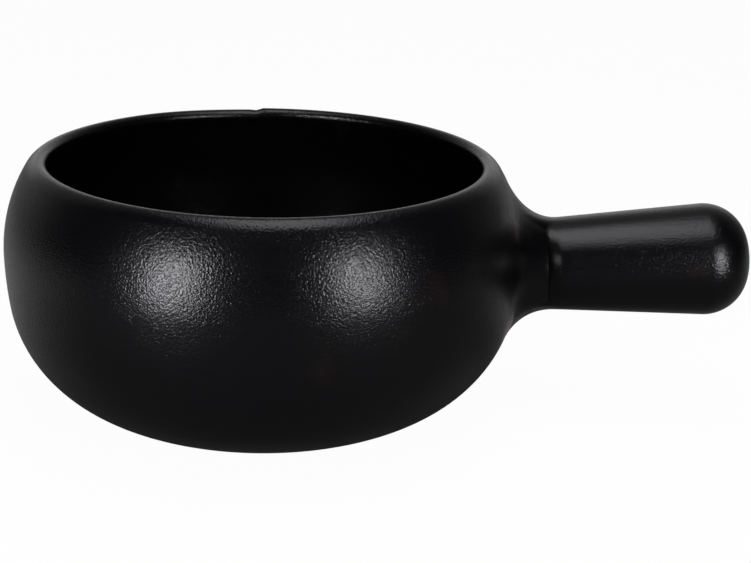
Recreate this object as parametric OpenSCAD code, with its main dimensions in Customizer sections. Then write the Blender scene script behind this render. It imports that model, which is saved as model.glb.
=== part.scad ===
// Fondue pot: a ceramic caquelon with one hollow side handle.
// The bowl, the handle and the flared collar between them are shaped apart, luted together
// and fired as one, under thin coats of glaze. Sizes are finished sizes, over the glaze.
// Origin: centre of the base, on the table. The handle points along +X.

/* [Bowl] */
// Widest diameter of the bowl
belly_d = 220; // [206:1:250]
// Height of the widest point
belly_h = 69; // [60:0.5:76]
// Height of the rim's crest
pot_h = 108; // [104:0.5:120]
// Diameter along the rim's crest
rim_d = 189; // [176:0.5:200]
// Radius of the lip's outer rounding
lip_r = 5.4; // [4:0.1:7]
// Thickness of the wall, coats included
wall_t = 7.2; // [6:0.1:9]
// Height of the floor inside
floor_h = 9; // [7:0.5:14]
// Radius of the slow curve under the belly
flank_r = 160; // [120:1:220]
// Height of the slow curve under the belly
flank_h = 21; // [10:0.5:30]

/* [Foot] */
// Outer diameter of the foot ring
foot_d = 124; // [112:1:134]
// Height of the bowl's curve where it runs into the foot ring
foot_h = 1.2; // [0.8:0.1:3]
// Width of the foot ring
foot_w = 9; // [5:0.5:20]
// Bevel on the foot ring's outer edge
foot_bevel = 0.4; // [0.2:0.1:0.8]
// Depth of the recess inside the foot ring
recess_d = 1.5; // [0.5:0.1:3]
// Height of the bare clay between that curve's end and the outer coat
bare_band = 1.2; // [0.8:0.1:6]

/* [Handle] */
// Depth of the handle's axis below the widest point, at the belly's radius
handle_drop = 6.3; // [3:0.1:13]
// Upward tilt of the handle
handle_tilt = 3.9; // [0:0.1:8]
// Distance along the handle from the belly's radius to the grip's root
collar_len = 10.8; // [10:0.1:24]
// Length of the grip from its root to its tip
grip_len = 87.1; // [70:0.1:110]
// Diameter of the grip at its root
grip_d = 39.4; // [37:0.1:44]
// Angle between the grip's side and its axis
grip_taper = 3.7; // [1:0.1:5]
// Radius of the rounded edge at the grip's end
end_edge_r = 18.5; // [14:0.1:19]
// Radius of the grip's domed end
end_dome_r = 70; // [50:1:120]
// Radius of the rounded shoulder at the grip's root
shoulder_r = 5; // [2.6:0.1:6]
// Depth of the joint line between grip and collar
joint_dip = 0.25; // [0.1:0.05:0.6]
// Thickness of the grip's wall
grip_wall = 8.5; // [7:0.1:11]
// Distance from the grip's root to where its hollow is full
hollow_in = 12; // [8:0.5:20]
// Outer diameter of the neck tube inside the collar
neck_d = 30; // [26:0.1:33]
// Thickness of the neck tube's wall
neck_wall = 6; // [4:0.1:8]
// Diameter of the vent under the grip
vent_d = 4; // [3:0.1:6]
// Distance of the vent from the grip's root
vent_in = 16; // [14:0.5:40]

/* [Collar] */
// Diameter of the collar's root on the bowl
root_d = 69.2; // [60:0.2:74]
// Height of the root's centre above the handle's axis
root_rise = 1.4; // [0:0.1:4]
// Angle at which the collar leaves the wall
root_angle = 6; // [5:0.5:20]
// Pull of the wall on the collar's curve above and below the handle, as a share of its span
root_pull = 1.75; // [0.8:0.05:2.2]
// Pull of the wall on the collar's curve at the handle's sides, as a share of its span
root_pull_side = 1.3; // [0.8:0.05:2.2]
// Pull of the grip on the collar's curve above and below the handle, as a share of its span
neck_pull = 0.3; // [0.3:0.05:1]
// Pull of the grip on the collar's curve at the handle's sides, as a share of its span
neck_pull_side = 0.9; // [0.3:0.05:1]
// Angle at which the collar meets the grip above and below, measured from the handle's axis
neck_angle = 29; // [0:0.5:36]
// Angle at which the collar meets the grip at the sides, measured from the handle's axis
neck_angle_side = 36; // [0:0.5:40]
// How far the coat runs past the collar's edge
root_lap = 1.2; // [0.8:0.1:2]

/* [Glaze] */
// Thickness of every coat
glaze_t = 0.5; // [0.3:0.05:0.8]
// Gap between pieces that are fired together
fit_gap = 0.05; // [0.03:0.01:0.1]

/* [Hidden] */
$fn = 128;
// Largest turn between two points of a drawn arc, in degrees
arc_step = 5;
// Points round the collar, and steps along its flare and across its seat
ring_n = 60;
flare_n = 12;
seat_n = 7;
clay = [0.56, 0.33, 0.23];
black_glaze = [0.09, 0.085, 0.09];
// Depth of the clay's surface below the finished one
clay_in = glaze_t + fit_gap;

belly_r = belly_d / 2;
rim_r = rim_d / 2;
foot_r = foot_d / 2;

// Upper wall: one arc from the belly that runs into the lip's outer rounding
lip_in = belly_r - rim_r;
lip_up = pot_h - lip_r - belly_h;
upper_r = (lip_in * lip_in + lip_up * lip_up - lip_r * lip_r) / (2 * (lip_in - lip_r));
upper_c = [belly_r - upper_r, belly_h];
lip_c = [rim_r, pot_h - lip_r];
lip_a = atan2(lip_c.y - upper_c.y, lip_c.x - upper_c.x);

// Inner rounding of the lip: it meets the outer one on the crest and the inside of the upper wall
inner_r = upper_r - wall_t;
lip_across = rim_r - upper_c.x;
lip_rise = pot_h - belly_h;
lip_inner_r = (lip_across * lip_across + lip_rise * lip_rise - inner_r * inner_r)
    / (2 * (lip_rise + inner_r));
lip_inner_c = [rim_r, pot_h - lip_inner_r];
lip_inner_a = atan2(lip_inner_c.y - upper_c.y, lip_inner_c.x - upper_c.x);

// Flank: a slow arc below the belly
flank_c = [belly_r - flank_r, belly_h];
flank_a = asin(flank_h / flank_r);
flank_n = [cos(flank_a), -sin(flank_a)];
flank_end = flank_c + flank_r * flank_n;

// Base arc: it carries the flank on to the foot
to_foot = [foot_r, foot_h] - flank_end;
base_r = -(to_foot * to_foot) / (2 * (to_foot * flank_n));
base_c = flank_end - base_r * flank_n;

// Inside base arc: it carries the inner flank on to the flat floor
inner_end = flank_c + (flank_r - wall_t) * flank_n;
bottom_r = (inner_end.y - floor_h) / (1 - sin(flank_a));
bottom_c = inner_end - bottom_r * flank_n;

// The handle's own directions: along it, up and across
along = [cos(handle_tilt), 0, sin(handle_tilt)];
above = [-sin(handle_tilt), 0, cos(handle_tilt)];
across = [0, 1, 0];
handle_o = [belly_r, 0, belly_h - handle_drop];

// Grip: a straight side between a small rounded shoulder and a rounded, domed end
grip_r = grip_d / 2;
side_k = tan(grip_taper);
side_w = 1 / cos(grip_taper);
tip_s = collar_len + grip_len;
joint_r = grip_r - joint_dip;
shoulder_b = shoulder_r * side_w - joint_dip;
shoulder_q = side_w * side_w * (shoulder_b * shoulder_b - shoulder_r * shoulder_r);
shoulder_x = (side_k * shoulder_b + sqrt(pow(side_k * shoulder_b, 2) - shoulder_q)) / (side_w * side_w);
shoulder_c = [grip_r + side_k * shoulder_x - shoulder_r * side_w, collar_len + shoulder_x];
dome_s = tip_s - end_dome_r;
edge_b = grip_r - end_edge_r * side_w + side_k * (dome_s - collar_len);
edge_q = edge_b * edge_b - pow(end_dome_r - end_edge_r, 2);
edge_x = (-edge_b * side_k + sqrt(pow(edge_b * side_k, 2) - side_w * side_w * edge_q)) / (side_w * side_w);
edge_c = [edge_b + side_k * edge_x, dome_s + edge_x];
edge_a = atan2(edge_c.x, edge_x);

// Points of an arc about c, with its first point left out on request
function arc(c, r, from, to, skip = 0) =
    let (n = max(2, ceil(abs(to - from) / arc_step)))
    [for (i = [skip:n]) c + r * [cos(from + (to - from) * i / n), sin(from + (to - from) * i / n)]];

// Outside of the bowl, depth below the finished surface, from a given angle of the base arc to the crest
function outside(depth, from) = concat(
    arc(base_c, base_r - depth, from, -flank_a),
    arc(flank_c, flank_r - depth, -flank_a, 0, 1),
    arc(upper_c, upper_r - depth, 0, lip_a, 1),
    arc(lip_c, lip_r - depth, lip_a, 90, 1));

// Inside of the bowl, depth below the finished surface, from the crest to the middle of the floor
function inside(depth, skip = 0) = concat(
    arc(lip_inner_c, lip_inner_r - depth, 90, 180 + lip_inner_a, skip),
    arc(upper_c, inner_r + depth, lip_inner_a, 0, 1),
    arc(flank_c, flank_r - wall_t + depth, 0, -flank_a, 1),
    arc(bottom_c, bottom_r + depth, -flank_a, -90, 1),
    [[0, floor_h - depth]]);

// Arc of the outer wall at height z, as centre and radius at the given depth
function wall_arc(z, depth) =
    z > belly_h ? [upper_c, upper_r - depth]
    : z > belly_h - (flank_r - depth) * sin(flank_a) ? [flank_c, flank_r - depth]
    : [base_c, base_r - depth];

// Radius of the outer wall at height z
function wall_r(z, depth) =
    let (a = wall_arc(z, depth))
    a[0].x + sqrt(pow(a[1], 2) - pow(z - a[0].y, 2));

// Outward normal of the wall at a point on it
function wall_normal(p, depth) =
    let (a = wall_arc(p.z, depth), rise = asin((p.z - a[0].y) / a[1]), turn = atan2(p.y, p.x))
    [cos(rise) * cos(turn), cos(rise) * sin(turn), sin(rise)];

// Direction away from the handle's axis at angle u, 90 degrees being up
function outward(u) = cos(u) * across + sin(u) * above;

// Point where a line along the handle through p meets the wall
function on_wall(p, depth, tries = 14) =
    tries == 0 ? p
    : on_wall(p - (norm([p.x, p.y]) - wall_r(p.z, depth)) * along, depth, tries - 1);

// Point of a ring that lies on the wall, between the neck's bore (k = 0) and the root (k = 1)
function seat(u, k, bore, root, depth) =
    on_wall(handle_o + (bore + (root - bore) * k) * outward(u) + root_rise * k * above, depth);

// A value of the collar's curve at angle u, between that above and below and that at the sides
function towards_side(u, upright, side) = upright + (side - upright) * cos(u) * cos(u);

// Point of the flare, t from the root to the joint with the grip
function flare(u, t, root, depth, seat_depth) =
    let (
        p0 = on_wall(handle_o + root * outward(u) + root_rise * above, seat_depth),
        n0 = wall_normal(p0, seat_depth),
        in0 = -outward(u),
        flat = in0 - (in0 * n0) * n0,
        t0 = cos(root_angle) * flat / norm(flat) + sin(root_angle) * n0,
        p1 = handle_o + (collar_len - fit_gap) * along + (joint_r - depth) * outward(u),
        neck_a = towards_side(u, neck_angle, neck_angle_side),
        t1 = cos(neck_a) * along + sin(neck_a) * in0,
        span = norm(p1 - p0))
    (2 * t * t * t - 3 * t * t + 1) * p0
    + (t * t * t - 2 * t * t + t) * towards_side(u, root_pull, root_pull_side) * span * t0
    + (3 * t * t - 2 * t * t * t) * p1
    + (t * t * t - t * t) * towards_side(u, neck_pull, neck_pull_side) * span * t1;

// Closed solid through rings of ring_n points each, the last ring joined to the first
module ring_solid(rings) {
    m = len(rings);
    points = [for (r = rings, p = r) p];
    faces = [for (j = [0:m - 1], i = [0:ring_n - 1])
        let (a = j * ring_n, b = ((j + 1) % m) * ring_n, k = (i + 1) % ring_n)
        each [[a + i, b + i, b + k], [a + i, b + k, a + k]]];
    polyhedron(points, faces);
}

// Ring of points for the angles round the handle
function turns() = [for (i = [0:ring_n - 1]) 360 * i / ring_n];

// Side of the grip from the start of its rounded end to the tip
function grip_end(depth) = concat(
    arc([edge_c.y, edge_c.x], end_edge_r - depth, 90 + grip_taper, edge_a),
    arc([dome_s, 0], end_dome_r - depth, edge_a, 0, 1));

// Outside of the grip from its root to its tip
function grip_side(depth) = concat(
    arc([shoulder_c.y, shoulder_c.x], shoulder_r - depth,
        acos((collar_len - shoulder_c.y) / (shoulder_r - depth)), 90 + grip_taper),
    grip_end(depth));

// Swaps the two coordinates of each point
function flip(points) = [for (p = points) [p.y, p.x]];

function backwards(points) = [for (i = [len(points) - 1:-1:0]) points[i]];

// Places a solid that stands on its axis along the handle
module on_handle() {
    translate(handle_o) rotate([0, 90 - handle_tilt, 0]) children();
}

// The bowl as one lump, up to the depth given
module bowl_blank(depth) {
    rotate_extrude() polygon(concat(
        [[0, 0], [foot_r, 0]],
        outside(depth, -acos((foot_r - base_c.x) / (base_r - depth))),
        [[0, pot_h - depth]]));
}

// Vent under the grip
module vent() {
    translate([0, 0, collar_len + vent_in]) rotate([0, 90, 0]) cylinder(d = vent_d, h = grip_d);
}

module bowl() {
    ring_in = foot_r - foot_w;
    color(clay) rotate_extrude() polygon(concat(
        [[0, recess_d], [ring_in - recess_d, recess_d], [ring_in, 0]],
        [[foot_r - foot_bevel, 0], [foot_r, foot_bevel]],
        outside(clay_in, -acos((foot_r - base_c.x) / (base_r - clay_in))),
        inside(clay_in, 1)));
}

module handle() {
    bore_r = neck_d / 2 - neck_wall;
    hollow_s = collar_len + hollow_in;
    hollow_r = grip_r + side_k * hollow_in - grip_wall * side_w;
    color(clay) difference() {
        on_handle() difference() {
            rotate_extrude() polygon(concat(
                [[0, -belly_r / 2], [neck_d / 2, -belly_r / 2], [neck_d / 2, collar_len]],
                flip(grip_side(clay_in))));
            rotate_extrude() polygon(concat(
                [[0, -belly_r], [bore_r, -belly_r], [bore_r, collar_len], [hollow_r, hollow_s]],
                flip(grip_end(grip_wall))));
            vent();
        }
        bowl_blank(glaze_t);
    }
}

module luting_collar() {
    bore = (neck_d / 2 + fit_gap) / cos(180 / ring_n);
    root = root_d / 2 - root_lap;
    color(clay) ring_solid(concat(
        [[for (u = turns()) handle_o + (collar_len - fit_gap) * along + bore * outward(u)]],
        [for (j = [0:seat_n]) [for (u = turns()) seat(u, j / seat_n, bore, root, glaze_t)]],
        [for (j = [1:flare_n]) [for (u = turns()) flare(u, j / flare_n, root, clay_in, glaze_t)]]));
}

module lining_glaze() {
    color(black_glaze) rotate_extrude() polygon(concat(inside(0), backwards(inside(glaze_t))));
}

module bowl_glaze() {
    from = asin((foot_h + bare_band - base_c.y) / base_r);
    color(black_glaze) difference() {
        rotate_extrude() polygon(concat(outside(0, from), backwards(outside(glaze_t, from))));
        on_handle() translate([-root_rise, 0, -belly_r / 2])
            cylinder(d = root_d + 2 * fit_gap, h = belly_r);
    }
}

module collar_glaze() {
    root = root_d / 2;
    color(black_glaze) ring_solid(concat(
        [for (j = [flare_n:-1:0]) [for (u = turns()) flare(u, j / flare_n, root, glaze_t, glaze_t)]],
        [for (j = [0:flare_n]) [for (u = turns()) flare(u, j / flare_n, root, 0, 0)]]));
}

module handle_glaze() {
    color(black_glaze) on_handle() difference() {
        rotate_extrude() polygon(flip(concat(grip_side(0), backwards(grip_side(glaze_t)))));
        vent();
    }
}

bowl();
handle();
luting_collar();
lining_glaze();
bowl_glaze();
collar_glaze();
handle_glaze();
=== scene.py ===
import math

import bmesh
import bpy
from mathutils import Matrix, Vector


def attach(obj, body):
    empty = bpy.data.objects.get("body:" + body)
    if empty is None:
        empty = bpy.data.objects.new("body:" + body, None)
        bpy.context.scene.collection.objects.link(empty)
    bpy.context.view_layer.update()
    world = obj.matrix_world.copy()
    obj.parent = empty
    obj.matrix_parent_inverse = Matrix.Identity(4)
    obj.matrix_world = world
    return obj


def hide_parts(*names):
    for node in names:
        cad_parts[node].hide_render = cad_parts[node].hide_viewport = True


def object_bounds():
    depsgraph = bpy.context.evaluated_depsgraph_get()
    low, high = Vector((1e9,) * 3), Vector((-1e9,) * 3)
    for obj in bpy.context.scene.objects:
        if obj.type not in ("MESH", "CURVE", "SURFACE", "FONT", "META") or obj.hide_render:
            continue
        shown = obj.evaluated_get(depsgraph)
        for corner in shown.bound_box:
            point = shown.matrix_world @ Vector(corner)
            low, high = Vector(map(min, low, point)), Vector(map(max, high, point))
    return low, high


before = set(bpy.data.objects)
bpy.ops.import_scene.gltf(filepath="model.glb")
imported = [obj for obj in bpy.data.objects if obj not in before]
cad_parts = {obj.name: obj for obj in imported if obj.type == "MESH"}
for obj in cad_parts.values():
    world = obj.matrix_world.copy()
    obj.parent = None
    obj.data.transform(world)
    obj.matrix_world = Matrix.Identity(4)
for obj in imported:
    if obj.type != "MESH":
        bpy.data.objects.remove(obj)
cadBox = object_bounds()
scene = bpy.context.scene
print("frame loaded:", sorted(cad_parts))

# camera of the photograph, in metres and degrees, its lens and sensor in millimetres
view = {
    "target": (0.0478, 0, 0.0526),
    "distance": 0.6,
    "elevation": 18.84,
    "roll": 1.94,
    "lens": 65.82,
    "sensor": 36,
}


def makeCamera():
    rise = math.radians(view["elevation"])
    back = Vector((0, -math.cos(rise), math.sin(rise))) * view["distance"]
    tilt = Matrix.Rotation(math.pi / 2 - rise, 4, "X")
    roll = Matrix.Rotation(math.radians(view["roll"]), 4, "Z")
    data = bpy.data.cameras.new("photoCamera")
    data.lens = view["lens"]
    data.sensor_width = view["sensor"]
    camera = bpy.data.objects.new("photoCamera", data)
    camera.matrix_world = Matrix.Translation(Vector(view["target"]) + back) @ tilt @ roll
    scene.collection.objects.link(camera)
    scene.camera = camera


makeCamera()
scene.view_settings.view_transform = "Standard"
print("camera set")


# a socket of a node tree, with plain arithmetic on it
class Wire:
    def __init__(self, tree, socket=None):
        self.tree = tree
        self.socket = socket

    def make(self, kind, settings=None, inputs=None, output=0):
        node = self.tree.nodes.new(kind)
        for name, value in (settings or {}).items():
            setattr(node, name, value)
        for name, value in (inputs or {}).items():
            if isinstance(value, Wire):
                self.tree.links.new(value.socket, node.inputs[name])
            else:
                node.inputs[name].default_value = value
        return Wire(self.tree, node.outputs[output] if node.outputs else None)

    def math(self, operation, *values):
        return self.make("ShaderNodeMath", {"operation": operation}, dict(enumerate(values)))

    def __add__(self, other):
        return self.math("ADD", self, other)

    def __radd__(self, other):
        return self.math("ADD", other, self)

    def __sub__(self, other):
        return self.math("SUBTRACT", self, other)

    def __rsub__(self, other):
        return self.math("SUBTRACT", other, self)

    def __mul__(self, other):
        return self.math("MULTIPLY", self, other)

    def __rmul__(self, other):
        return self.math("MULTIPLY", other, self)

    def __pow__(self, other):
        return self.math("POWER", self, other)


def ramp(value, low, high):
    return value.make(
        "ShaderNodeMapRange",
        {"interpolation_type": "SMOOTHSTEP"},
        {"Value": value, "From Min": low, "From Max": high},
    )


def noise(place, scale, detail):
    return place.make(
        "ShaderNodeTexNoise",
        {"noise_dimensions": "3D"},
        {"Vector": place, "Scale": scale, "Detail": detail},
    )


def blendColour(amount, under, over):
    return amount.make("ShaderNodeMix", {"data_type": "RGBA"}, {0: amount, 6: under, 7: over}, 2)


def axisOf(place, axis):
    return place.make("ShaderNodeSeparateXYZ", None, {"Vector": place}, axis)


def alongAxis(place, axis):
    return place.make("ShaderNodeVectorMath", {"operation": "DOT_PRODUCT"}, {0: place, 1: axis}, 1)


# raises a layer of relief on the one below it
def raised(height, depth, below=None):
    inputs = {"Strength": 1.0, "Distance": depth, "Height": height}
    if below:
        inputs["Normal"] = below
    return height.make("ShaderNodeBump", None, inputs)


def newMaterial(name):
    material = bpy.data.materials.new(name)
    material.use_nodes = True
    tree = material.node_tree
    tree.nodes.clear()
    start = Wire(tree)
    place = start.make("ShaderNodeTexCoord", output="Object")
    return material, start, place


def closeMaterial(start, surface):
    start.make("ShaderNodeOutputMaterial", None, {"Surface": surface})


# black satin glaze with a leathery grain; slopes are those of the grain's sides, and a cloud or a
# grain is a scale and a detail
glazeLook = {
    "deep": (0.0014, 0.0011, 0.0015, 1),
    "thin": (0.030, 0.013, 0.011, 1),
    "specular": 0.375,
    "tint": (0.97, 0.95, 1, 1),
    "rough": 0.24,
    "roughSpread": 0.06,
    "turned": (0.6, 0.5, 0.75),
    "cloud": (35, 3),
    "cells": 1430,
    "cellSlope": 0.08,
    "grain": (1230, 1),
    "grainSlope": 0.17,
    "thinClouds": (0.62, 0.85),
    "cloudShare": 0.2,
    "thinHeights": (0.0024, 0.007),
    "footShare": 0.5,
}
# paler marks where the joint was wiped, in a ring round the handle; the pairs from share to
# fullness are above and below it
markLook = {
    "colour": (0.13, 0.116, 0.113, 1),
    "share": (0.42, 1.0),
    "inner": (0.0275, 0.0295),
    "innerSoft": (0.005, 0.001),
    "outer": (0.042, 0.038),
    "outerSoft": (0.013, 0.006),
    "spread": (0, 0.22),
    "fullness": (0, 0.3),
    "handleSide": (0.03, 0.07),
    "upright": (0.25, 0.6),
    "turnover": 0.004,
    "streaks": (300, 20),
    "streakDetail": 2,
    "streakRange": (0.2, 0.75),
    "relief": 0.0001,
    "rough": 0.15,
}


def wipeMarks(place):
    look = markLook
    spot = place.make("ShaderNodeVectorMath", {"operation": "SUBTRACT"}, {0: place, 1: handleFoot})
    up = alongAxis(spot, aboveHandle)
    side = axisOf(spot, "Y")
    square = up * up + side * side
    far = square**0.5
    fine, coarse = look["streaks"]
    flow = place.make(
        "ShaderNodeCombineXYZ", None, {"X": far * fine, "Y": up * coarse, "Z": side * coarse}
    )
    drag = noise(flow, 1, look["streakDetail"])
    below = 1 - ramp(up, -look["turnover"], look["turnover"])
    names = ("inner", "innerSoft", "outer", "outerSoft", "share", "spread", "fullness")
    pairs = (look[name] for name in names)
    inner, innerSoft, outer, outerSoft, share, spread, fullness = (
        above + below * (under - above) for above, under in pairs
    )
    entered = far.math("DIVIDE", far - inner, innerSoft)
    left = far.math("DIVIDE", far - outer, outerSoft)
    ring = ramp(entered, 0, 1) * (1 - ramp(left, 0, 1))
    ring = ring * ramp(axisOf(place, "X"), *look["handleSide"])
    ring = ring * ramp(up.math("DIVIDE", up * up, square) + spread, *look["upright"])
    return ring * ramp(drag + fullness, *look["streakRange"]) * share, drag * ring


def glazeMaterial(name, marked=False):
    look = glazeLook
    material, start, place = newMaterial(name)
    turned = start.make("ShaderNodeMapping", None, {"Vector": place, "Rotation": look["turned"]})
    cloud = noise(turned, *look["cloud"])
    cells = start.make(
        "ShaderNodeTexVoronoi",
        {"feature": "F1"},
        {"Vector": turned, "Scale": look["cells"], "Randomness": 1.0},
    )
    grain = noise(turned, *look["grain"])
    relief = raised(cells, look["cellSlope"] / look["cells"])
    relief = raised(grain, look["grainSlope"] / look["grain"][0], relief)
    rough = look["rough"] + look["roughSpread"] * (cloud - 0.5)
    thin = ramp(cloud, *look["thinClouds"]) * look["cloudShare"]
    if marked:
        low = 1 - ramp(axisOf(place, "Z"), *look["thinHeights"])
        thin = thin + low * look["footShare"]
    colour = blendColour(thin, look["deep"], look["thin"])
    if marked:
        wiped, drag = wipeMarks(place)
        relief = raised(drag, markLook["relief"], relief)
        rough = rough + wiped * markLook["rough"]
        colour = blendColour(wiped, colour, markLook["colour"])
    shader = start.make(
        "ShaderNodeBsdfPrincipled",
        None,
        {
            "Base Color": colour,
            "Roughness": rough,
            "Specular IOR Level": look["specular"],
            "Specular Tint": look["tint"],
            "Normal": relief,
        },
    )
    closeMaterial(start, shader)
    return material


# unglazed red clay with fine grog
clayLook = {
    "body": (0.36, 0.165, 0.105, 1),
    "dark": (0.20, 0.085, 0.055, 1),
    "rough": 0.82,
    "specular": 0.3,
    "cloud": (60, 4),
    "cloudRange": (0.35, 0.7),
    "cloudShare": 0.5,
    "cloudRelief": 0.5,
    "grog": (1600, 2),
    "grogRange": (0.62, 0.7),
    "grogShare": 0.4,
    "grogSmooth": 0.1,
    "relief": 0.0002,
    "reliefStrength": 0.6,
}


def clayMaterial():
    look = clayLook
    material, start, place = newMaterial("redClay")
    cloud = noise(place, *look["cloud"])
    grog = noise(place, *look["grog"])
    speck = ramp(grog, *look["grogRange"])
    tone = ramp(cloud, *look["cloudRange"]) * look["cloudShare"] + speck * look["grogShare"]
    bump = start.make(
        "ShaderNodeBump",
        None,
        {
            "Strength": look["reliefStrength"],
            "Distance": look["relief"],
            "Height": grog + cloud * look["cloudRelief"],
        },
    )
    shader = start.make(
        "ShaderNodeBsdfPrincipled",
        None,
        {
            "Base Color": blendColour(tone, look["body"], look["dark"]),
            "Roughness": look["rough"] - speck * look["grogSmooth"],
            "Specular IOR Level": look["specular"],
            "Normal": bump,
        },
    )
    closeMaterial(start, shader)
    return material


# shared by all meshes, in metres
meshing = {
    "tiny": 1e-6,
    "sharpAngle": math.radians(40),
    "wallAttempts": 14,
}


def smoothStep(low, high, value):
    share = min(1, max(0, (value - low) / (high - low)))
    return share * share * (3 - 2 * share)


def mixed(share, under, over):
    return under + share * (over - under)


# the bowl, in metres
bowl = {
    "bellyRadius": cadBox[1][1],
    "bellyHeight": 0.069,
    "potHeight": cadBox[1][2],
    "rimRadius": 0.0945,
    "lipRadius": 0.0054,
    "softRadius": 0.010,
    "softTo": math.radians(60),
    "rimSink": 0.0006,
    "sinkHeights": (0.088, 0.106),
    "chipFrom": math.radians(97),
    "chipTo": math.radians(132),
    "chipDrop": 0.0007,
    "notchAt": math.radians(98),
    "notchWidth": math.radians(2),
    "notchDrop": 0.0003,
    "chipHeights": (0.1, 0.107),
    "wall": 0.0072,
    "floorHeight": 0.009,
    "flankRadius": 0.160,
    "flankHeight": 0.021,
    "footRadius": 0.062,
    "footHeight": 0.0012,
    "footWidth": 0.009,
    "footBevel": 0.0004,
    "recess": 0.0015,
    "bareBand": 0.0012,
    "glaze": 0.0005,
    "fitGap": 0.00005,
    "segments": 180,
    "stepAngle": math.radians(2.5),
}


# arcs of the wall's section as (centre, radius), and the angles at which they meet; x is the
# radius from the axis, z the height
def wallCurves():
    b = bowl
    lipIn = b["bellyRadius"] - b["rimRadius"]
    lipUp = b["potHeight"] - b["lipRadius"] - b["bellyHeight"]
    upperRadius = (lipIn**2 + lipUp**2 - b["lipRadius"] ** 2) / (2 * (lipIn - b["lipRadius"]))
    upper = Vector((b["bellyRadius"] - upperRadius, 0, b["bellyHeight"]))
    softReach = upperRadius - b["softRadius"]
    half = math.tan((math.pi / 2 - b["softTo"]) / 2)
    crest = b["potHeight"] - b["softRadius"] - upper.z + half * (b["rimRadius"] - upper.x)
    softFrom = math.asin(crest / (softReach * math.hypot(1, half))) - math.atan(half)
    soft = upper + softReach * Vector((math.cos(softFrom), 0, math.sin(softFrom)))
    lipRadius = b["softRadius"] - (b["rimRadius"] - soft.x) / math.cos(b["softTo"])
    lip = Vector((b["rimRadius"], 0, b["potHeight"] - lipRadius))
    innerRadius = upperRadius - b["wall"]
    lipAcross = b["rimRadius"] - upper.x
    lipRise = b["potHeight"] - b["bellyHeight"]
    lipInnerRadius = (lipAcross**2 + lipRise**2 - innerRadius**2) / (2 * (lipRise + innerRadius))
    lipInner = Vector((b["rimRadius"], 0, b["potHeight"] - lipInnerRadius))
    flank = Vector((b["bellyRadius"] - b["flankRadius"], 0, b["bellyHeight"]))
    flankAngle = math.asin(b["flankHeight"] / b["flankRadius"])
    flankOut = Vector((math.cos(flankAngle), 0, -math.sin(flankAngle)))
    flankEnd = flank + b["flankRadius"] * flankOut
    toFoot = Vector((b["footRadius"], 0, b["footHeight"])) - flankEnd
    baseRadius = -toFoot.dot(toFoot) / (2 * toFoot.dot(flankOut))
    innerEnd = flank + (b["flankRadius"] - b["wall"]) * flankOut
    bottomRadius = (innerEnd.z - b["floorHeight"]) / (1 - math.sin(flankAngle))
    return {
        "upper": (upper, upperRadius),
        "soft": (soft, b["softRadius"]),
        "softFrom": softFrom,
        "lip": (lip, lipRadius),
        "inner": (upper, innerRadius),
        "lipInner": (lipInner, lipInnerRadius),
        "lipInnerAngle": math.atan2(lipInner.z - upper.z, lipInner.x - upper.x),
        "flank": (flank, b["flankRadius"]),
        "flankAngle": flankAngle,
        "base": (flankEnd - baseRadius * flankOut, baseRadius),
        "bottom": (innerEnd - bottomRadius * flankOut, bottomRadius),
    }


curves = wallCurves()


def arcPoint(centre, radius, angle):
    return centre + radius * Vector((math.cos(angle), 0, math.sin(angle)))


# sweeps the last vertex of a section round an arc's centre
def sweepArc(bm, vert, centre, turn):
    steps = max(2, math.ceil(abs(turn) / bowl["stepAngle"]))
    made = bmesh.ops.spin(
        bm, geom=[vert], cent=centre, axis=(0, -1, 0), angle=turn, steps=steps, use_duplicate=False
    )
    return [v for v in made["geom_last"] if isinstance(v, bmesh.types.BMVert)][0]


def lineTo(bm, vert, place):
    made = bmesh.ops.extrude_vert_indiv(bm, verts=[vert])
    made["verts"][0].co = place
    return made["verts"][0]


# draws a run of arcs, each (centre, radius, from, to), starting at vert or at a new vertex
def drawArcs(bm, arcs, vert=None):
    for centre, radius, start, end in arcs:
        place = arcPoint(centre, radius, start)
        if vert is None:
            vert = bm.verts.new(place)
        elif (vert.co - place).length > meshing["tiny"]:
            vert = lineTo(bm, vert, place)
        vert = sweepArc(bm, vert, centre, end - start)
    return vert


def backwards(arcs):
    return [(centre, radius, end, start) for centre, radius, start, end in reversed(arcs)]


def outsideArcs(depth, start):
    c = curves
    quarter = math.pi / 2
    return [
        (c["base"][0], c["base"][1] - depth, start, -c["flankAngle"]),
        (c["flank"][0], c["flank"][1] - depth, -c["flankAngle"], 0),
        (c["upper"][0], c["upper"][1] - depth, 0, c["softFrom"]),
        (c["soft"][0], c["soft"][1] - depth, c["softFrom"], bowl["softTo"]),
        (c["lip"][0], c["lip"][1] - depth, bowl["softTo"], quarter),
    ]


def insideArcs(depth):
    c = curves
    quarter = math.pi / 2
    return [
        (c["lipInner"][0], c["lipInner"][1] - depth, quarter, math.pi + c["lipInnerAngle"]),
        (c["inner"][0], c["inner"][1] + depth, c["lipInnerAngle"], 0),
        (c["flank"][0], c["flank"][1] - bowl["wall"] + depth, 0, -c["flankAngle"]),
        (c["bottom"][0], c["bottom"][1] + depth, -c["flankAngle"], -quarter),
    ]


def spinAround(bm, steps):
    bmesh.ops.spin(
        bm,
        geom=bm.verts[:] + bm.edges[:],
        cent=(0, 0, 0),
        axis=(0, 0, 1),
        angle=2 * math.pi,
        steps=steps,
        use_merge=True,
    )


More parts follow.
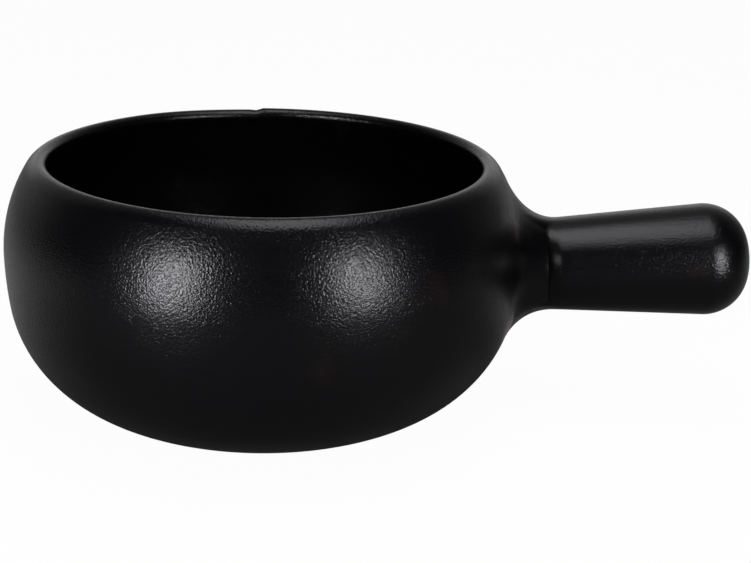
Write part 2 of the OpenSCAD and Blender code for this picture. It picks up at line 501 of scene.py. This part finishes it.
# turns a finished bmesh into a piece that stands for its CAD node
def finishPiece(bm, name, material, node):
    bmesh.ops.remove_doubles(bm, verts=bm.verts, dist=meshing["tiny"])
    bmesh.ops.recalc_face_normals(bm, faces=bm.faces)
    mesh = bpy.data.meshes.new(name)
    bm.to_mesh(mesh)
    bm.free()
    mesh.shade_smooth()
    mesh.set_sharp_from_angle(angle=meshing["sharpAngle"])
    mesh.materials.append(material)
    piece = bpy.data.objects.new(name, mesh)
    scene.collection.objects.link(piece)
    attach(piece, "root")
    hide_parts(node)
    print(name, "made:", len(mesh.polygons), "faces")


# how far the rim is chipped at a turn round the bowl
def chipAt(turn):
    b = bowl
    past = (turn - b["chipFrom"]) / (b["chipTo"] - b["chipFrom"])
    chip = b["chipDrop"] * (1 - smoothStep(0, 1, past)) if past > 0 else 0
    return chip + b["notchDrop"] * max(0, 1 - abs(turn - b["notchAt"]) / b["notchWidth"])


# spins a section of the bowl; its rim sinks a little towards the front and is chipped at the back
def shapeBowl(bm):
    spinAround(bm, bowl["segments"])
    for v in bm.verts:
        away = max(meshing["tiny"], math.hypot(v.co.x, v.co.y))
        front = max(0, -v.co.y / away) ** 2
        sink = bowl["rimSink"] * front * smoothStep(*bowl["sinkHeights"], v.co.z)
        chip = chipAt(math.atan2(v.co.y, v.co.x)) * smoothStep(*bowl["chipHeights"], v.co.z)
        v.co.z -= sink + chip


def makeBowlGlaze():
    centre, radius = curves["base"]
    lowest = bowl["footHeight"] + bowl["bareBand"]
    start = math.asin((lowest - centre.z) / radius)
    bm = bmesh.new()
    last = drawArcs(bm, outsideArcs(0, start))
    last = drawArcs(bm, backwards(outsideArcs(bowl["glaze"], start)), last)
    bm.verts.ensure_lookup_table()
    bm.edges.new((last, bm.verts[0]))
    shapeBowl(bm)
    finishPiece(bm, "bowlGlaze", markedGlaze, "bowl_glaze")


# underside of the lining's edge on the lip's crest
def crestBelow():
    return (bowl["rimRadius"], 0, bowl["potHeight"] - bowl["glaze"])


def makeLiningGlaze():
    bm = bmesh.new()
    outer = drawArcs(bm, insideArcs(0))
    lineTo(bm, outer, (0, 0, bowl["floorHeight"]))
    bm.verts.ensure_lookup_table()
    inner = drawArcs(bm, insideArcs(bowl["glaze"]), lineTo(bm, bm.verts[0], crestBelow()))
    lineTo(bm, inner, (0, 0, bowl["floorHeight"] - bowl["glaze"]))
    shapeBowl(bm)
    finishPiece(bm, "liningGlaze", blackGlaze, "lining_glaze")


def makeBowlClay():
    b = bowl
    depth = b["glaze"] + b["fitGap"]
    centre, radius = curves["base"]
    start = -math.acos((b["footRadius"] - centre.x) / (radius - depth))
    ringIn = b["footRadius"] - b["footWidth"]
    bm = bmesh.new()
    last = bm.verts.new((0, 0, b["recess"]))
    last = lineTo(bm, last, (ringIn - b["recess"], 0, b["recess"]))
    last = lineTo(bm, last, (ringIn, 0, 0))
    last = lineTo(bm, last, (b["footRadius"] - b["footBevel"], 0, 0))
    last = lineTo(bm, last, (b["footRadius"], 0, b["footBevel"]))
    last = drawArcs(bm, outsideArcs(depth, start), last)
    last = drawArcs(bm, insideArcs(depth), last)
    lineTo(bm, last, (0, 0, b["floorHeight"] - depth))
    shapeBowl(bm)
    finishPiece(bm, "bowlClay", redClay, "bowl")


# the handle, in metres; lengths along it count from the belly's radius
grip = {
    "drop": 0.0063,
    "tilt": math.radians(3.9),
    "root": 0.0108,
    "length": 0.0871,
    "radius": 0.0197,
    "taper": math.radians(3.7),
    "edgeRadius": 0.0185,
    "domeRadius": 0.070,
    "shoulderRadius": 0.005,
    "jointDip": 0.00025,
    "ventRadius": 0.002,
    "ventIn": 0.016,
    "ventReach": 1.8,
    "ventLoops": (-1.8, -0.9, 0, 0.9, 1.8),
    "neckRadius": 0.015,
    "neckWall": 0.006,
    "wall": 0.0085,
    "hollowIn": 0.012,
    "wipedSlope": 0.28,
    "wipedFlat": 0.004,
    "wipedLength": 0.0065,
    "wipedFrom": (math.radians(62), math.radians(34)),
    "wipedTo": (math.radians(4), math.radians(-33)),
    "wipedLoops": (3, 10),
    "segments": 120,
}
handleFoot = Vector((bowl["bellyRadius"], 0, bowl["bellyHeight"] - grip["drop"]))
alongHandle = Vector((math.cos(grip["tilt"]), 0, math.sin(grip["tilt"])))
aboveHandle = Vector((-math.sin(grip["tilt"]), 0, math.cos(grip["tilt"])))
acrossHandle = Vector((0, 1, 0))
handlePlace = Matrix.Translation(handleFoot) @ Matrix.Rotation(math.pi / 2 - grip["tilt"], 4, "Y")


# depth of the hollow wiped into the joint at the handle's two sides; rise is the sine of the
# height above them
def wipedAt(rise, past):
    height = math.asin(max(-1, min(1, rise)))
    share = smoothStep(*grip["wipedFrom"], height) * (1 - smoothStep(*grip["wipedTo"], height))
    ahead = max(0, grip["wipedLength"] - past)
    blend = grip["wipedLength"] - grip["wipedFlat"]
    run = ahead - blend / 2 if ahead > blend else ahead**2 / (2 * blend)
    return grip["wipedSlope"] * share * run


# arcs of the grip's section: x is the radius from its axis, z the length along it
def gripArcs(depth):
    g = grip
    slope = math.tan(g["taper"])
    slant = 1 / math.cos(g["taper"])
    dip = g["shoulderRadius"] * slant - g["jointDip"]
    square = slant**2 * (dip**2 - g["shoulderRadius"] ** 2)
    shoulderIn = (slope * dip + math.sqrt((slope * dip) ** 2 - square)) / slant**2
    shoulder = Vector(
        (g["radius"] + slope * shoulderIn - g["shoulderRadius"] * slant, 0, g["root"] + shoulderIn)
    )
    dome = Vector((0, 0, g["root"] + g["length"] - g["domeRadius"]))
    reach = g["radius"] - g["edgeRadius"] * slant + slope * (dome.z - g["root"])
    square = reach**2 - (g["domeRadius"] - g["edgeRadius"]) ** 2
    edgeIn = (-reach * slope + math.sqrt((reach * slope) ** 2 - slant**2 * square)) / slant**2
    edge = Vector((reach + slope * edgeIn, 0, dome.z + edgeIn))
    edgeAngle = math.pi / 2 - math.atan2(edge.x, edgeIn)
    shoulderCut = math.acos((g["root"] - shoulder.z) / (g["shoulderRadius"] - depth))
    return [
        (shoulder, g["shoulderRadius"] - depth, math.pi / 2 - shoulderCut, -g["taper"]),
        (edge, g["edgeRadius"] - depth, -g["taper"], edgeAngle),
        (dome, g["domeRadius"] - depth, edgeAngle, math.pi / 2),
    ]


# depth of a place below the grip's straight side
def depthAt(place):
    side = grip["radius"] + math.tan(grip["taper"]) * (place.z - grip["root"])
    return (side - math.hypot(place.x, place.y)) * math.cos(grip["taper"])


# opens a round hole in one layer of the skin under the grip, along the section's own x
def cutVentLayer(bm, depth):
    radius = grip["ventRadius"]
    middle = grip["root"] + grip["ventIn"]
    reach = grip["ventReach"] * radius
    close = [
        f
        for f in bm.faces
        if f.calc_center_median().x > 0
        and math.hypot(f.calc_center_median().y, f.calc_center_median().z - middle) < reach
        and abs(depthAt(f.verts[0].co) - depth) < bowl["glaze"] / 2
    ]
    inner = set(close)
    border = [e for f in close for e in f.edges if not inner.issuperset(e.link_faces)]
    bmesh.ops.delete(bm, geom=close, context="FACES")
    ring = bmesh.ops.create_circle(bm, segments=len(border), radius=radius)["verts"]
    ringEdges = [e for v in ring for e in v.link_edges if e.verts[0] == v]
    for v in ring:
        across, along = v.co.x, v.co.y + middle
        side = grip["radius"] + math.tan(grip["taper"]) * (along - grip["root"])
        side -= depth / math.cos(grip["taper"])
        v.co = (math.sqrt(side**2 - across**2), across, along)
    bmesh.ops.bridge_loops(bm, edges=ringEdges + border)
    return ringEdges


def cutVent(bm, outer, inner):
    rings = [cutVentLayer(bm, depth) for depth in (outer, inner)]
    bmesh.ops.bridge_loops(bm, edges=rings[0] + rings[1])


# loops round the grip where its joint and its vent need them
def addLoops(bm):
    first, last = grip["wipedLoops"]
    steps = [grip["wipedLength"] * k / last for k in range(first, last + 1)]
    steps += [grip["ventIn"] + k * grip["ventRadius"] for k in grip["ventLoops"]]
    for step in steps:
        bmesh.ops.bisect_plane(
            bm,
            geom=bm.verts[:] + bm.edges[:] + bm.faces[:],
            plane_co=(0, 0, grip["root"] + step),
            plane_no=(0, 0, 1),
        )


# spins the section of a layer of the handle, opens the vent, hollows the joint and places it
def shapeGrip(bm, outer, inner):
    spinAround(bm, grip["segments"])
    bmesh.ops.remove_doubles(bm, verts=bm.verts, dist=meshing["tiny"])
    addLoops(bm)
    cutVent(bm, outer, inner)
    for v in bm.verts:
        radius = math.hypot(v.co.x, v.co.y)
        if radius > grip["neckRadius"] + bowl["fitGap"]:
            shrink = 1 - wipedAt(-v.co.x / radius, v.co.z - grip["root"]) / radius
            v.co = (v.co.x * shrink, v.co.y * shrink, v.co.z)
    neckEnds = [v for v in bm.verts if v.co.z < meshing["tiny"]]
    bmesh.ops.transform(bm, matrix=handlePlace, verts=bm.verts)
    for v in neckEnds:
        v.co = onWall(v.co, bowl["glaze"])


def makeHandleGlaze():
    bm = bmesh.new()
    last = drawArcs(bm, gripArcs(0))
    bottom = bm.verts.new((0, 0, last.co.z - bowl["glaze"]))
    last = drawArcs(bm, backwards(gripArcs(bowl["glaze"])), bottom)
    bm.verts.ensure_lookup_table()
    bm.edges.new((last, bm.verts[0]))
    shapeGrip(bm, 0, bowl["glaze"])
    finishPiece(bm, "handleGlaze", blackGlaze, "handle_glaze")


# the hollow handle with the neck that reaches through the collar to the wall
def makeHandleClay():
    g = grip
    depth = bowl["glaze"] + bowl["fitGap"]
    bore = g["neckRadius"] - g["neckWall"]
    hollow = g["radius"] + math.tan(g["taper"]) * g["hollowIn"] - g["wall"] / math.cos(g["taper"])
    bm = bmesh.new()
    first = bm.verts.new((bore, 0, 0))
    last = lineTo(bm, first, (g["neckRadius"], 0, 0))
    last = lineTo(bm, last, (g["neckRadius"], 0, g["root"]))
    drawArcs(bm, gripArcs(depth), last)
    last = lineTo(bm, first, (bore, 0, g["root"]))
    last = lineTo(bm, last, (hollow, 0, g["root"] + g["hollowIn"]))
    drawArcs(bm, gripArcs(g["wall"])[1:], last)
    shapeGrip(bm, depth, g["wall"])
    finishPiece(bm, "handleClay", redClay, "handle")


# the flared collar between wall and grip
collar = {
    "rootRadius": 0.0346,
    "rootRise": 0.0014,
    "rootAngle": math.radians(3),
    "rootLap": 0.0012,
    "rootPull": (1.75, 1.3),
    "neckPull": (0.3, 0.9),
    "neckAngle": (math.radians(29), math.radians(36)),
    "fillTurn": math.radians(75),
    "fillReach": (math.cos(math.radians(40)), math.cos(math.radians(20))),
    "fillLength": 0.0061,
    "fillLift": 0.00002,
    "fillPulls": (1.85, 0.45),
    "turns": 120,
    "steps": 24,
    "seatSteps": 8,
}


# blends a pair of values, the first above and below the handle, the second at its sides
def towardsSide(turn, pair):
    return pair[0] + (pair[1] - pair[0]) * math.cos(turn) ** 2


def wallArcAt(height, depth):
    low = bowl["bellyHeight"] - (bowl["flankRadius"] - depth) * math.sin(curves["flankAngle"])
    if height > bowl["bellyHeight"]:
        centre, radius = curves["upper"]
    elif height > low:
        centre, radius = curves["flank"]
    else:
        centre, radius = curves["base"]
    return centre, radius - depth


def wallRadius(height, depth):
    centre, radius = wallArcAt(height, depth)
    return centre.x + math.sqrt(radius**2 - (height - centre.z) ** 2)


def wallNormal(place, depth):
    centre, radius = wallArcAt(place.z, depth)
    rise = math.asin((place.z - centre.z) / radius)
    turn = math.atan2(place.y, place.x)
    return Vector((math.cos(rise) * math.cos(turn), math.cos(rise) * math.sin(turn), math.sin(rise)))


def outwards(turn):
    return math.cos(turn) * acrossHandle + math.sin(turn) * aboveHandle


# slides a point along the handle until it lies on the wall
def onWall(place, depth):
    for attempt in range(meshing["wallAttempts"]):
        place = place - (math.hypot(place.x, place.y) - wallRadius(place.z, depth)) * alongHandle
    return place


# point where a line along the handle meets the wall
def seatPoint(turn, radius, rise, depth):
    return onWall(handleFoot + radius * outwards(turn) + rise * aboveHandle, depth)


# point of the flare, share from the root to the joint with the grip; above and below the glaze
# fills the joint and runs out on the grip
def flarePoint(turn, share, depth, lap=0):
    c = collar
    out = outwards(turn)
    fill = 0 if depth else smoothStep(*c["fillReach"], abs(math.cos(turn - c["fillTurn"])))
    seat = min(depth, bowl["glaze"])
    root = seatPoint(turn, c["rootRadius"] - lap, c["rootRise"], seat)
    normal = wallNormal(root, seat)
    flat = -out + out.dot(normal) * normal
    leave = math.cos(c["rootAngle"]) * flat.normalized() + math.sin(c["rootAngle"]) * normal
    length = grip["root"] - bowl["fitGap"] + fill * c["fillLength"]
    filled = grip["radius"] + math.tan(grip["taper"]) * c["fillLength"] + c["fillLift"]
    wiped = wipedAt(math.sin(turn), 0)
    radius = mixed(fill, grip["radius"] - grip["jointDip"] - depth - wiped, filled)
    neck = handleFoot + length * alongHandle + radius * out
    angle = mixed(fill, towardsSide(turn, c["neckAngle"]), -grip["taper"])
    arrive = math.cos(angle) * alongHandle - math.sin(angle) * out
    span = (neck - root).length
    rootPull = mixed(fill, towardsSide(turn, c["rootPull"]), c["fillPulls"][0]) * span
    neckPull = mixed(fill, towardsSide(turn, c["neckPull"]), c["fillPulls"][1]) * span
    t = share
    return (
        (2 * t**3 - 3 * t**2 + 1) * root
        + (t**3 - 2 * t**2 + t) * rootPull * leave
        + (3 * t**2 - 2 * t**3) * neck
        + (t**3 - t**2) * neckPull * arrive
    )


# bridges rings round the handle, each given as the place of a turn
def bridgeRings(bm, rings):
    loops = []
    for place in rings:
        ring = bmesh.ops.create_circle(bm, segments=collar["turns"], radius=1)["verts"]
        for v in ring:
            v.co = place(math.atan2(v.co.y, v.co.x))
        loops.append([e for v in ring for e in v.link_edges if e.verts[0] == v])
    for loop, following in zip(loops, loops[1:] + loops[:1]):
        bmesh.ops.bridge_loops(bm, edges=loop + following)


def flareRings(depth, lap=0):
    shares = [i / collar["steps"] for i in range(collar["steps"] + 1)]
    return [lambda turn, s=s: flarePoint(turn, s, depth, lap) for s in shares]


def makeCollarGlaze():
    bm = bmesh.new()
    bridgeRings(bm, flareRings(0) + flareRings(bowl["glaze"])[::-1])
    finishPiece(bm, "collarGlaze", markedGlaze, "collar_glaze")


def makeCollarClay():
    c = collar
    bore = grip["neckRadius"] + bowl["fitGap"]
    end = handleFoot + (grip["root"] - bowl["fitGap"]) * alongHandle
    rings = [lambda turn: end + bore * outwards(turn)]
    for step in range(c["seatSteps"]):
        k = step / c["seatSteps"]
        radius = mixed(k, bore, c["rootRadius"] - c["rootLap"])
        rise = k * c["rootRise"]
        rings.append(lambda turn, r=radius, up=rise: seatPoint(turn, r, up, bowl["glaze"]))
    bm = bmesh.new()
    bridgeRings(bm, rings + flareRings(bowl["glaze"] + bowl["fitGap"], c["rootLap"]))
    finishPiece(bm, "collarClay", redClay, "luting_collar")


blackGlaze = glazeMaterial("blackGlaze")
markedGlaze = glazeMaterial("markedGlaze", True)
redClay = clayMaterial()
print("materials made")
makeBowlGlaze()
makeLiningGlaze()
makeBowlClay()
makeHandleGlaze()
makeHandleClay()
makeCollarGlaze()
makeCollarClay()

# studio: pale floor and backdrop, two tall softboxes beside the camera and one overhead; what the
# glaze mirrors is dimmer than what the camera sees, and brighter behind the pot than in front
studio = {
    "floorSize": 8,
    "floorDrop": 0.0002,
    "floorColour": (0.8, 0.8, 0.8, 1),
    "shownWhite": 1.0,
    "shownShare": 0.97,
    "mirroredBack": 0.28,
    "backRange": (0.1, 0.6),
    "mirroredHorizon": 0.62,
    "horizonRange": (0.72, 0.92),
    "horizonHeights": (0.25, 0.55),
    "mirroredShade": 0.65,
    "shadeRange": (0.1, 0.7),
    "mirroredFront": 0.015,
    "mirroredFloor": (0.13, 0.52),
    "floorRange": (-0.05, 0.25),
    "floorSlant": 0.5,
    "ambient": 0.3,
    "lampAim": (0.04, 0, 0.07),
}
lamps = {
    "leftBox": {"place": (-0.358, -0.58, 0.115), "size": (0.06, 0.54), "radiance": 40},
    "rightBox": {"place": (0.528, -0.58, 0.18), "size": (0.06, 0.52), "radiance": 35},
    "overhead": {"place": (0.07, -0.1, 0.9), "size": (0.54, 0.65), "radiance": 2.9},
}


def makeLamp(name, settings):
    width, height = settings["size"]
    data = bpy.data.lights.new(name, "AREA")
    data.shape = "RECTANGLE"
    data.size = width
    data.size_y = height
    data.energy = settings["radiance"] * width * height * math.pi
    lamp = bpy.data.objects.new(name, data)
    lamp.location = settings["place"]
    aim = Vector(studio["lampAim"]) - Vector(settings["place"])
    lamp.rotation_euler = aim.to_track_quat("-Z", "Y").to_euler()
    lamp.visible_camera = False
    scene.collection.objects.link(lamp)


def makeFloor():
    bm = bmesh.new()
    bmesh.ops.create_grid(bm, x_segments=1, y_segments=1, size=studio["floorSize"])
    bmesh.ops.translate(bm, vec=(0, 0, -studio["floorDrop"]), verts=bm.verts)
    mesh = bpy.data.meshes.new("paleFloor")
    bm.to_mesh(mesh)
    bm.free()
    material, start, place = newMaterial("paleFloor")
    plain = start.make("ShaderNodeBsdfDiffuse", None, {"Color": studio["floorColour"]})
    white = start.make("ShaderNodeEmission", None, {"Strength": studio["shownWhite"]})
    seen = start.make("ShaderNodeLightPath", output="Is Camera Ray")
    mirrored = start.make("ShaderNodeLightPath", output="Is Glossy Ray")
    through = start.make("ShaderNodeLightPath", output="Is Transmission Ray")
    share = (seen + through) * studio["shownShare"]
    shown = start.make("ShaderNodeMixShader", None, {0: share, 1: plain, 2: white})
    front, back = studio["mirroredFloor"]
    leftwards = place.math("MAXIMUM", axisOf(place, "X") * -studio["floorSlant"], 0)
    behind = ramp(axisOf(place, "Y") + leftwards, *studio["floorRange"])
    level = front + behind * (back - front)
    dim = start.make("ShaderNodeBsdfDiffuse", None, {"Color": level})
    shown = start.make("ShaderNodeMixShader", None, {0: mirrored, 1: shown, 2: dim})
    closeMaterial(start, shown)
    mesh.materials.append(material)
    floor = bpy.data.objects.new("paleFloor", mesh)
    scene.collection.objects.link(floor)


def makeWorld():
    world = bpy.data.worlds.new("studioWorld")
    world.use_nodes = True
    world.node_tree.nodes.clear()
    start = Wire(world.node_tree)
    seen = start.make("ShaderNodeLightPath", output="Is Camera Ray")
    mirrored = start.make("ShaderNodeLightPath", output="Is Glossy Ray")
    through = start.make("ShaderNodeLightPath", output="Is Transmission Ray")
    white = studio["shownWhite"]
    towards = start.make("ShaderNodeTexCoord", output="Object")
    x, y, z = (axisOf(towards, axis) for axis in "XYZ")
    front = studio["mirroredFront"]
    wide = ramp(y, *studio["backRange"]) * (studio["mirroredBack"] - front)
    low = 1 - ramp(z, *studio["horizonHeights"])
    near = ramp(y, *studio["horizonRange"]) * low * studio["mirroredHorizon"]
    shade = ramp(x, *studio["shadeRange"]) * studio["mirroredShade"]
    backdrop = front + (wide + near) * (1 - shade)
    shown = seen * white + through * white + mirrored * backdrop
    other = (1 - seen) * (1 - through) * (1 - mirrored) * studio["ambient"]
    back = start.make("ShaderNodeBackground", None, {"Strength": shown + other})
    start.make("ShaderNodeOutputWorld", None, {"Surface": back})
    scene.world = world


makeFloor()
makeWorld()
for name, settings in lamps.items():
    makeLamp(name, settings)
print("studio lit")
